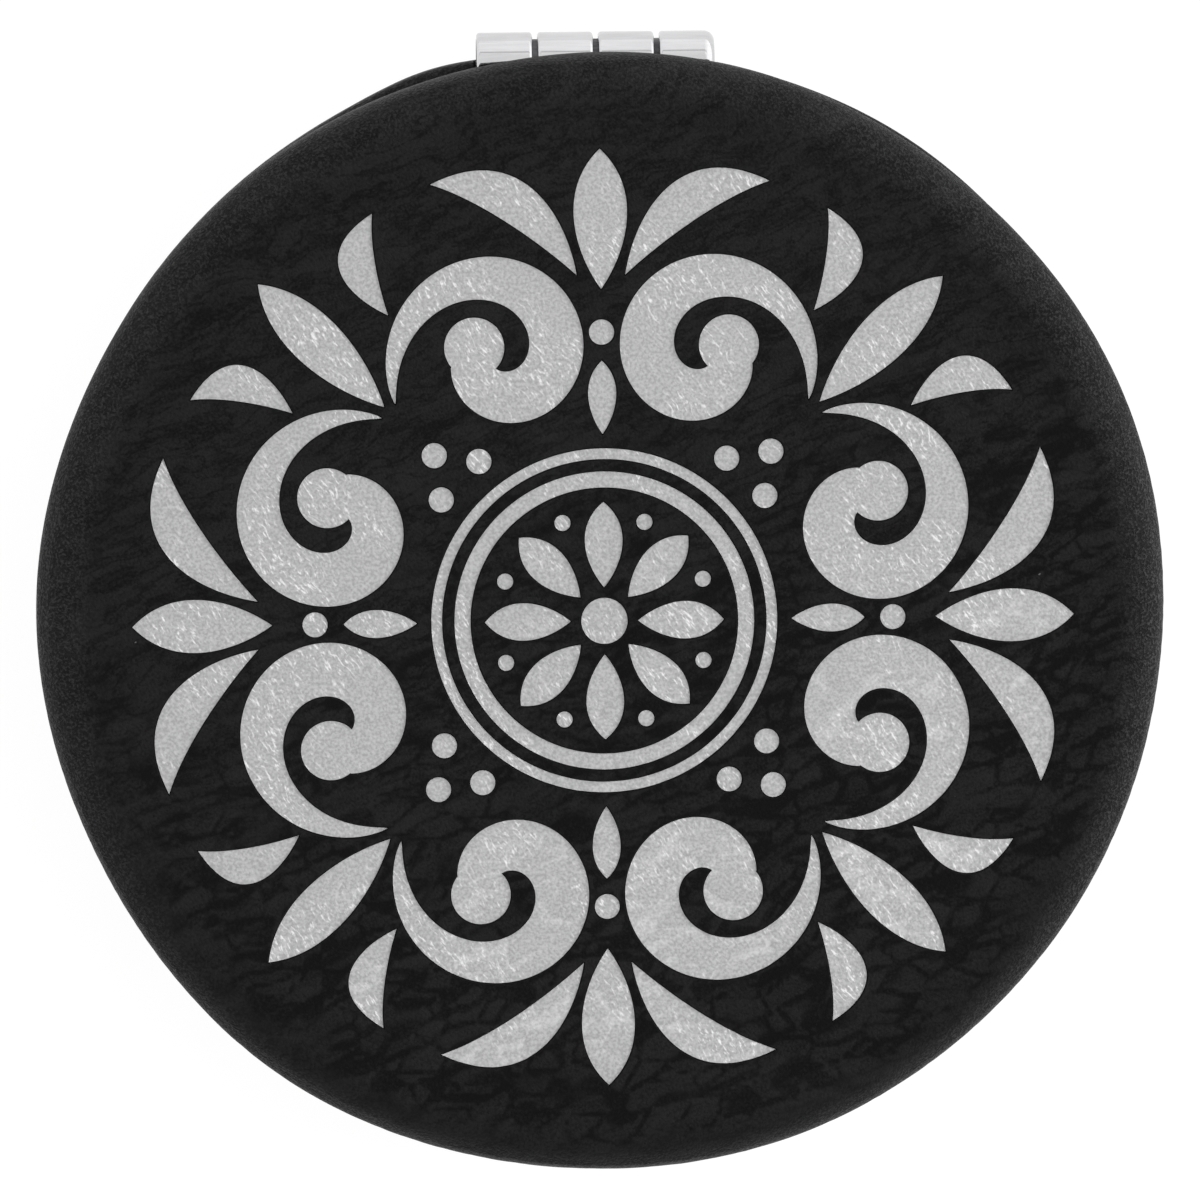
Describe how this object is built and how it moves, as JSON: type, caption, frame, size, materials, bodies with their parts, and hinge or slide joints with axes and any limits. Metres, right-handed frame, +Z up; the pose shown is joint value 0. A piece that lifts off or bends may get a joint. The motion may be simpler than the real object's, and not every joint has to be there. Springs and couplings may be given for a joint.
{
  "type": "compact mirror",
  "caption": "Round leatherette compact mirror that opens on a chrome barrel hinge to a plain and a magnifying mirror, with an engraved silver scroll medallion on its lid.",
  "frame": {"origin": "centre of the base's flat underside, on the axis of the round case", "axes": "+Z up through the closed case, +Y towards the hinge, +X to the right seen from the front"},
  "size_m": [0.0636, 0.0646, 0.0106],
  "materials": {
    "black_leatherette": "pebbled matte",
    "engraved_silver": "satin silver core",
    "foam": "soft foam",
    "shell_plastic": "moulded",
    "grey_board": "bare board",
    "glue_pad": "adhesive tape",
    "mirror_glass": "silvered",
    "bezel_chrome": "bright plated",
    "magnet_steel": "nickel plated",
    "hinge_chrome": "bright plated",
    "rivet_steel": "plain",
    "pin_steel": "ground"
  },
  "bodies": {
    "base": {"base_cover": "black_leatherette", "base_foam_pad": "foam", "base_shell": "shell_plastic", "base_mirror_tray": "grey_board", "base_mirror_glue": "glue_pad", "base_mirror": "mirror_glass", "base_bezel": "bezel_chrome", "base_magnet": "magnet_steel", "base_hinge_leaf": "hinge_chrome", "base_hinge_rivets": "rivet_steel", "hinge_pin": "pin_steel"},
    "lid": {"lid_cover": "black_leatherette", "lid_foam_pad": "foam", "lid_shell": "shell_plastic", "lid_mirror_tray": "grey_board", "lid_mirror_glue": "glue_pad", "lid_mirror": "mirror_glass", "lid_bezel": "bezel_chrome", "lid_magnet": "magnet_steel", "lid_hinge_leaf": "hinge_chrome", "lid_hinge_rivets": "rivet_steel", "lid_engraved_ornament": "engraved_silver"}
  },
  "joints": [
    {"name": "lid_hinge", "type": "hinge", "parent": "base", "child": "lid", "pos_m": [0, 0.0312, 0.0053], "axis": [-1, 0, 0], "range_deg": [0, 130]}
  ]
}
